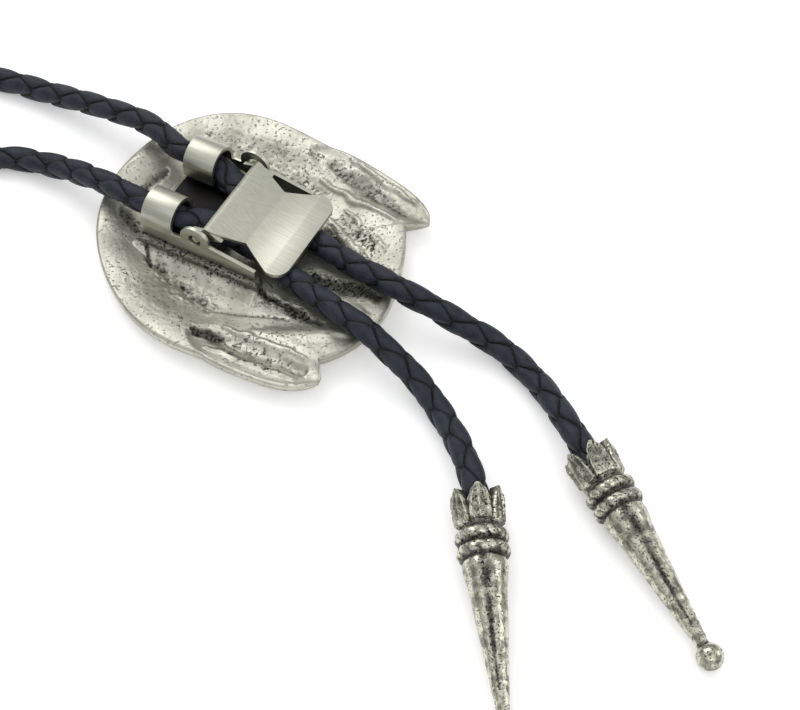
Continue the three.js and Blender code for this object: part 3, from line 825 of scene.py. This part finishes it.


# Heights and patina, and painted cord shadows, of one ring of the plate's back; swell is the edge over the
# round one
def plateBack(share, x, y, swell, look):
    rise = look["rimHeight"] - look["floorHeight"]
    z = look["floorHeight"] + rise * smoothStep(share * swell, look["dishShare"], look["rimShare"])
    for leaf in leaves:
        reach = leafReach(leaf, x, y)
        high = smoothStep(z, look["floorHeight"], look["rimHeight"])
        z = z - np.where(reach < 1, look["leafDip"] * (1 - reach ** 2) * high, 0)
    relief, dark = reliefAt(x, y, reliefLook)
    inside = 1 - smoothStep(share, 0.955, 1.0)
    z = z + (relief + look["unevenness"] * castNoise(x, y, look["slowMm"], 11.5)) * inside
    mound = moundHeight(x, y, moundLook, clipLook, padLook)
    blend = moundLook["share"]
    z = np.where(mound > z, (1 - blend) * z + blend * mound, z)
    z = z - look["edgeRound"] * smoothStep(share, 0.985, 1.0)
    return z, np.maximum(dark * inside, look["railPatina"] * smoothStep(mound, 3.6, 4.8))


# The front is a shallow dome under the back, out to a rim of even thickness
def plateFront(share, look):
    dome = smoothStep(share, look["flatShare"], 1.08) ** 1.2
    bevel = look["edgeRound"] * smoothStep(share, 0.97, 1.0)
    n = look["around"]
    return np.full(n, (look["rimHeight"] - look["rimThickness"]) * dome + bevel), [look["frontPatina"]] * n


def makePlate(look, material):
    turn = 2 * math.pi * np.arange(look["around"]) / look["around"]
    edge = np.array([outlineRadius(angle, look) for angle in turn])
    swell = edge / np.array([roundRadius(angle, look) for angle in turn])
    backShares = (np.arange(1, look["backRings"] + 1) / look["backRings"]) ** 0.85
    frontShares = np.arange(look["frontRings"], 0, -1) / look["frontRings"]
    rings = [(share, True) for share in backShares] + [(share, False) for share in frontShares]
    points = []
    shades = []
    for share, back in rings:
        x = look["centreX"] + share * edge * np.cos(turn)
        y = look["centreY"] + share * edge * np.sin(turn)
        z, shade = plateBack(share, x, y, swell, look) if back else plateFront(share, look)
        points += list(zip(x * mm, y * mm, z * mm))
        shades += list(shade)
    points += [(look["centreX"] * mm, look["centreY"] * mm, z) for z in (look["floorHeight"] * mm, 0.0)]
    shades += [look["middlePatina"]] * 2
    faces = [tuple(reversed(face)) for face in ringFaces(len(rings), look["around"])]
    plate = makePiece("cast_plate", points, faces, material)
    paintPoints(plate, "patinaAndShade", shades)
    return plate


# Prism from an outline of (a, b) pairs in the clip's own millimetres. axes names where
# a, b and the depth go.
def prism(outline, start, end, axes):
    order = {"alongUpAcross": (0, 2, 1), "acrossUpAlong": (2, 0, 1), "alongAcrossUp": (0, 1, 2)}[axes]
    places = [(a, b, depth) for depth in (start, end) for a, b in outline]
    points = [tuple(place[i] for i in order) for place in places]
    n = len(outline)
    faces = [tuple(range(n)), tuple(range(2 * n - 1, n - 1, -1))]
    faces += [(k, k + n, (k + 1) % n + n, (k + 1) % n) for k in range(n)]
    return points, faces


def arc(centreA, centreB, radius, startDeg, endDeg, steps):
    angles = np.radians(np.linspace(startDeg, endDeg, steps + 1))
    return [(centreA + radius * math.cos(a), centreB + radius * math.sin(a)) for a in angles]


def solidPiece(name, shape):
    points, faces = shape
    piece = makePiece(name, points, faces, None, smooth=False)
    mesh = piece.data
    work = bmesh.new()
    work.from_mesh(mesh)
    bmesh.ops.recalc_face_normals(work, faces=work.faces)
    work.to_mesh(mesh)
    work.free()
    return piece


# Joins, cuts or crosses solids and keeps the first one
def combine(first, others, operation):
    for other in others:
        step = first.modifiers.new("combine", "BOOLEAN")
        step.operation = operation
        step.solver = "EXACT"
        step.object = other
        applyModifiers(first)
        bpy.data.objects.remove(other)
    return first


def applyModifiers(piece):
    seen = piece.evaluated_get(bpy.context.evaluated_depsgraph_get())
    mesh = bpy.data.meshes.new_from_object(seen)
    piece.modifiers.clear()
    piece.data = mesh


# Rounds the edges of a piece made in the clip's millimetres and sets it in its place
def roundAndPlace(piece, edge, fromDeg, sharpDeg):
    bevel = piece.modifiers.new("edges", "BEVEL")
    bevel.width = edge
    bevel.segments = 3
    bevel.limit_method = "ANGLE"
    bevel.angle_limit = math.radians(fromDeg)
    applyModifiers(piece)
    turn = Matrix.Rotation(math.radians(clipPlace["headingDeg"]), 4, "Z")
    place = Matrix.Translation((clipPlace["x"], clipPlace["y"], clipPlace["z"]))
    piece.data.transform(place @ turn @ Matrix.Scale(mm, 4))
    piece.data.shade_smooth()
    piece.data.set_sharp_from_angle(angle=math.radians(sharpDeg))


def finishSheet(piece, edge, body, replaced, material):
    roundAndPlace(piece, edge, 38, 40)
    piece.data.materials.clear()
    piece.data.materials.append(material)
    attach(piece, body)
    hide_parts(replaced)
    return piece


def makeClip(look, material):
    sheet, half, radius = look["sheet"], look["halfWidth"], look["loopRadius"]
    floorStart = look["loopLength"] - look["overlap"]
    side = half - look["floorInset"]
    floorOutline = [
        (floorStart, -side), (look["floorLength"], -side), (look["floorLength"], side), (floorStart, side),
    ]
    base = solidPiece("clip_body", prism(floorOutline, 0.0, sheet, "alongAcrossUp"))
    parts = []
    for way in (-1, 1):
        centre = half - radius
        band = [(0, 0)] + [(half - inward, up) for inward, up in look["bottomCorner"]]
        band += arc(centre, radius, radius, 0, 180, 28)
        band += [(centre - radius, look["lipHeight"]), (centre - radius + sheet, look["lipHeight"])]
        band += arc(centre, radius, radius - sheet, 180, 0, 28)
        band += [(half - sheet, sheet), (0, sheet)]
        band = [(way * across, up) for across, up in band]
        parts.append(solidPiece("band", prism(band, 0.0, look["loopLength"], "acrossUpAlong")))
        wall = [(floorStart, 0.0), (look["length"], 0.0), (look["length"], look["wallEndHeight"])]
        wall += arc(look["earAt"], look["earHeight"], look["earRadius"], *look["earTurnDeg"], 30)
        wall += [(floorStart, look["wallStartHeight"])]
        plate = solidPiece("wall", prism(wall, way * half, way * (half - sheet), "alongUpAcross"))
        hole = arc(look["earAt"], look["earHeight"], look["holeRadius"], 0, 350, 35)
        drillEnds = (way * (half + 1), way * (half - sheet - 1))
        drill = solidPiece("drill", prism(hole, *drillEnds, "alongUpAcross"))
        parts.append(combine(plate, [drill], "DIFFERENCE"))
    combine(base, parts, "UNION")
    return finishSheet(base, look["edge"], "tie", "clip_base", material)


# Lever, in the clip's millimetres; bends are past and over the ears' hole
leverLook = {
    "wallClearance": 0.9,
    "waistInset": 4.3,
    "flareOverhang": -0.7,
    "sheetStart": 0.6,
    "shoulderAt": 2.4,
    "waistAt": 9.1,
    "flareAt": 15.4,
    "endAt": 19.1,
    "cornerRadius": 3.0,
    "studRadius": 0.8,
    "studSunk": 0.45,
    "studOverlap": 0.4,
    "cheekRadius": 1.8,
    "cheekTop": [(5.2, 0.65), (2.2, 2.0), (1.2, 1.8)],
    "edge": 0.13,
    "bendStep": 0.45,
}

leverBends = [
    (1.55, 1.15), (1.25, 1.7), (1.55, 2.1), (2.2, 2.0), (5.4, 0.76),
    (8.6, -0.34), (12.0, -1.16), (15.6, -1.66), (19.3, -1.95),
]


def makeLever(look, clip, material):
    sheet, at, up = clip["sheet"], clip["earAt"], clip["earHeight"]
    hinge = clip["halfWidth"] - sheet - look["wallClearance"]
    waist = clip["halfWidth"] - look["waistInset"]
    flare = clip["halfWidth"] + look["flareOverhang"]
    bends = np.array([(past, over, 0, 1) for past, over in leverBends])
    middle, _ = smoothRoute(bends, look["bendStep"])
    run = np.gradient(middle[:, :2], axis=0)
    run /= np.linalg.norm(run, axis=1, keepdims=True)
    offset = np.stack([-run[:, 1], run[:, 0]], axis=1) * sheet / 2
    centre = middle[:, :2] + np.array([at, up])
    side = [tuple(p) for p in centre + offset] + [tuple(p) for p in (centre - offset)[::-1]]
    lever = solidPiece("clip_lever_sheet", prism(side, -flare - 1, flare + 1, "alongUpAcross"))
    corner = look["cornerRadius"]
    half = [
        (at + look["sheetStart"], hinge), (at + look["shoulderAt"], hinge),
        (at + look["waistAt"], waist), (at + look["flareAt"], flare),
    ]
    half += arc(at + look["endAt"] - corner, flare - corner, corner, 90, 0, 10)
    outline = half + [(along, -across) for along, across in half[::-1]]
    plan = solidPiece("plan", prism(outline, -3.0, 13.0, "alongAcrossUp"))  # taller than all bends
    combine(lever, [plan], "INTERSECT")
    cheeks = []
    for way in (-1, 1):
        cheek = arc(at, up, look["cheekRadius"], 145, 330, 20)
        cheek += [(at + past, up + over) for past, over in look["cheekTop"]]
        ends = (way * hinge, way * (hinge - sheet))
        cheeks.append(solidPiece("cheek", prism(cheek, *ends, "alongUpAcross")))
        stud = arc(at, up, look["studRadius"], 0, 345, 23)
        ends = (way * (hinge - look["studOverlap"]), way * (clip["halfWidth"] - look["studSunk"]))
        cheeks.append(solidPiece("stud", prism(stud, *ends, "alongUpAcross")))
    combine(lever, cheeks, "UNION")
    return finishSheet(lever, look["edge"], "lever", "clip_lever", material)


# Cord tip, in millimetres from the crown's mouth towards the ball
tipLook = {
    "profile": [(0, 4.6), (6.2, 4.25), (6.8, 3.75), (13.0, 3.7), (14.8, 3.75), (40.6, 1.1)],
    "prongs": 6,
    "prongDepth": 3.4,
    "bluntShare": 0.14,      # of a prong's half width that is blunt at its end
    "borderAt": 0.80,
    "borderLean": 0.25,
    "borderWidth": 0.11,
    "borderLift": 0.34,
    "ribWidth": 0.12,
    "ribLift": 0.10,
    "hollowDepth": 0.22,
    "hollowPatina": 0.62,
    "boreRadius": 2.8,
    "boreDepth": 8.3,
    "collarAt": 6.8,
    "collarRadius": 3.7,
    "grooveHalfWidth": 0.7,
    "grooveDepth": 0.45,
    "ringAt": 8.9,
    "ringRadius": 4.8,
    "ringWidth": 2.1,
    "ringGap": 0.7,
    "ropes": 15,
    "ropeDepth": 0.22,
    "coneAt": 13.2,
    "coneSwell": 0.28,
    "flutes": 3,
    "fluteDepth": 0.30,
    "fluteTurnDeg": 100.0,
    "raggedMm": 1.6,
    "neckAt": 40.6,
    "ballAt": 42.73,
    "ballRadius": 2.4,
    "unevenMm": 1.1,
    "unevenness": 0.07,
    "borePatina": 0.8,
    "around": 150,
    "step": 0.22,
}


# 0 in the middle of a prong, 1 midway between two
def fromProng(turn, look):
    return np.abs(2 * np.mod(turn * look["prongs"] / (2 * math.pi), 1.0) - 1)


# Lift and patina of the prongs: raised border and rib round dark hollows
def crownForm(along, turn, look):
    off = fromProng(turn, look)
    share = along / look["collarAt"]
    borderAt = look["borderAt"] - look["borderLean"] * (1 - share) ** 2
    border = np.exp(-((off - borderAt) / look["borderWidth"]) ** 2)
    rib = np.exp(-(off / look["ribWidth"]) ** 2)
    hollow = 1 - np.clip(border + rib * 0.6, 0, 1)
    lift = look["borderLift"] * border + look["ribLift"] * rib
    lift -= look["hollowDepth"] * hollow * (share > 0.05)
    dark = look["hollowPatina"] * hollow * math.sin(math.pi * min(1, share + 0.1)) ** 0.5
    blunt = look["bluntShare"]
    return lift, dark + 0.9 * np.clip(off - 1 + blunt, 0, 1) / blunt


# Lift and patina of the cone: ragged dark flutes, and a swelling under the rings
def coneForm(along, turn, look):
    share = (along - look["coneAt"]) / (look["neckAt"] - look["coneAt"])
    fade = math.sin(math.pi * min(1, share * 1.15)) ** 0.6 if share < 0.87 else 0.0
    depth = look["fluteDepth"] * fade
    ragged = noise.noise(Vector((along / look["raggedMm"], 4.4, 0.7)))
    bend = turn - math.radians(look["fluteTurnDeg"]) + 0.08 * math.sin(7 * share) + 0.06 * ragged
    channel = np.clip(np.cos(look["flutes"] * bend), 0, 1) ** (1.8 + 5 * share)
    swell = look["coneSwell"] * math.exp(-((share - 0.06) / 0.07) ** 2)
    return swell - depth * channel, (0.95 + 0.5 * ragged) * channel * (depth > 0.03)


def tipRadius(along, turn, look):
    places, radii = zip(*look["profile"])
    radius = np.full(turn.shape, float(np.interp(along, places, radii)))
    dark = np.zeros(turn.shape)
    if along < look["collarAt"]:
        lift, shade = crownForm(along, turn, look)
        radius += lift
        dark += shade
    groove = max(0.0, 1 - abs(along - look["collarAt"] - 0.1) / look["grooveHalfWidth"])
    radius -= look["grooveDepth"] * groove
    dark += 0.9 * groove
    pitch = look["ringWidth"] + look["ringGap"]
    if abs(along - look["ringAt"] - pitch / 2) < pitch / 2 + 1.6:
        dark += 0.95
    for ring in (0, 1):
        off = (along - look["ringAt"] - ring * pitch) / (look["ringWidth"] / 2 + 0.15)
        if abs(off) < 1:
            crown = math.sqrt(1 - off * off)
            twist = np.abs(np.cos(look["ropes"] / 2 * turn + off * 1.2))
            body = look["collarRadius"] + (look["ringRadius"] - look["collarRadius"]) * crown
            radius = np.maximum(radius, body - look["ropeDepth"] * (1 - twist ** 0.6) * crown)
            dark += 0.65 * (1 - twist) ** 2.0 - 0.95 * crown ** 1.8
    if look["coneAt"] < along < look["neckAt"]:
        lift, shade = coneForm(along, turn, look)
        radius += lift
        dark += shade
    if along > look["neckAt"]:
        fromBall = along - look["ballAt"]
        radius = np.full(turn.shape, math.sqrt(max(0.0, look["ballRadius"] ** 2 - fromBall ** 2)))
        dark = np.full(turn.shape, 0.15)
    if look["neckAt"] - 0.5 < along <= look["neckAt"] + 0.3:
        dark += 0.7
    return radius, np.clip(dark, 0, 1)


def makeTip(name, place, look, replaced, material):
    n = look["around"]
    turn = 2 * math.pi * np.arange(n) / n
    blunt = look["bluntShare"]
    notch = look["prongDepth"] * (np.clip(fromProng(turn, look) - blunt, 0, 1) / (1 - blunt)) ** 1.1
    points = []
    for along in (look["boreDepth"], 6.0, 4.0, notch):
        ring = (np.full(n, along), look["boreRadius"] * np.cos(turn), look["boreRadius"] * np.sin(turn))
        points += list(zip(*ring))
    shades = [look["borePatina"]] * len(points)
    rows = list(np.arange(0, look["neckAt"], look["step"]))
    rows += list(look["ballAt"] - look["ballRadius"] * np.cos(np.radians(np.arange(30, 178, 7))))
    for along in rows:
        start = notch * max(0.0, 1 - along / (look["prongDepth"] + 1.2))
        radius, dark = tipRadius(along, turn, look)
        rough = look["unevenness"] * np.array([
            noise.noise(Vector((along / look["unevenMm"], 3.2 * c, 3.2 * d + place["x"])))
            for c, d in zip(np.cos(turn), np.sin(turn))
        ])
        uneven = radius + rough * (along < look["neckAt"])
        points += list(zip(along + start, uneven * np.cos(turn), uneven * np.sin(turn)))
        shades += list(np.clip(dark - 2.0 * rough, 0, 1))
    rings = len(points) // n
    points += [(look["boreDepth"], 0, 0), (look["ballAt"] + look["ballRadius"], 0, 0)]
    shades += [look["borePatina"], 0.1]
    tip = makePiece(name, points, ringFaces(rings, n), material)
    paintPoints(tip, "patinaAndShade", shades)
    slope = Matrix.Rotation(math.radians(tipLie["slopeDeg"]), 4, "Y")
    heading = Matrix.Rotation(math.radians(place["headingDeg"]), 4, "Z")
    spot = Matrix.Translation((place["x"], place["y"], tipLie["mouthHeight"]))
    tip.data.transform(spot @ heading @ slope @ Matrix.Scale(mm, 4))
    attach(tip, "tie")
    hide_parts(replaced)
    return tip


def makePad(look, clip, material):
    half = clip["halfWidth"] + look["margin"]
    padEnd = clip["floorLength"] + look["pastFloor"]
    railEnd = clip["length"] + look["railPastClip"]
    inner = clip["halfWidth"] - look["railReach"]
    outline = [
        (look["startAt"], -half), (railEnd, -half), (railEnd, -inner), (padEnd, -inner),
        (padEnd, inner), (railEnd, inner), (railEnd, half), (look["startAt"], half),
    ]
    pad = solidPiece("cast_pad", prism(outline, look["bottom"], -look["gap"], "alongAcrossUp"))
    roundAndPlace(pad, look["edge"], 30, 50)
    # the pad's darkness is painted shade under the clip, along with its patina
    paintPoints(pad, "patinaAndShade", [look["patinaAndShade"]] * len(pad.data.vertices))
    pad.data.materials.append(material)
    return pad


plate = makePlate(plateLook, platePewter)
pad = makePad(padLook, clipLook, platePewter)
for piece in (plate, pad):
    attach(piece, "tie")
    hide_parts("slide_plate")
print("plate:", len(plate.data.vertices), "points")

clipBody = makeClip(clipLook, nickel)
leverSheet = makeLever(leverLook, clipLook, nickel)
print("clip and lever:", len(clipBody.data.vertices), len(leverSheet.data.vertices), "points")

tips = [
    makeTip("pewter_tip_" + side, tipPlaces[side], tipLook, "tip_" + side, tipPewter)
    for side in ("right", "left")
]
print("tips made")


# Surface and light, like a white product table under big soft boxes
studio = {
    "floorColour": "#fafafa",
    "floorGlow": 0.22,
    "floorRoughness": 0.85,
    "floorSize": 3.0,
    "horizon": "#aaaaaa",
    "lowSky": "#c6c6c6",
    "highSky": "#f2f2f2",
    "worldStrength": 1.0,
    "lamps": [
        {"name": "topBox", "from": (-0.35, 0.55, 0.75), "size": 0.7, "power": 3.4},
        {"name": "frontBox", "from": (0.25, -0.75, 0.75), "size": 0.9, "power": 2.2},
        {"name": "sideBox", "from": (0.9, 0.1, 0.45), "size": 0.5, "power": 1.0},
    ],
}


def makeStudio(look):
    material, _, shader, _ = newMaterial("matt_white_table")
    colour = linearColour(look["floorColour"])
    fillSockets(
        shader, Base_Color=colour, Roughness=look["floorRoughness"],
        Emission_Color=colour, Emission_Strength=look["floorGlow"],
    )
    half = look["floorSize"] / 2
    corners = [(-half, -half, 0), (half, -half, 0), (half, half, 0), (-half, half, 0)]
    floor = makePiece("table_top", corners, [(0, 1, 2, 3)], material, smooth=False)
    world = bpy.data.worlds.new("white_room")
    world.use_nodes = True
    sky = world.node_tree
    way = addNode(sky, "TexCoord").outputs["Generated"]
    height = addNode(sky, "SeparateXYZ", Vector=way).outputs["Z"]
    ramp = addNode(
        sky, "ValToRGB", Fac=height,
        stops=[(0.0, look["horizon"]), (0.35, look["lowSky"]), (0.75, look["highSky"])],
    )
    fillSockets(sky.nodes["Background"], Color=ramp, Strength=look["worldStrength"])
    bpy.context.scene.world = world
    for row in look["lamps"]:
        data = bpy.data.lights.new(row["name"], "AREA")
        data.size = row["size"]
        data.energy = row["power"]
        lamp = bpy.data.objects.new(row["name"], data)
        lamp.location = row["from"]
        lamp.rotation_euler = (-Vector(row["from"])).to_track_quat("-Z", "Y").to_euler()
        bpy.context.scene.collection.objects.link(lamp)
    bpy.context.scene.view_settings.view_transform = "Standard"


makeStudio(studio)
print("studio made")
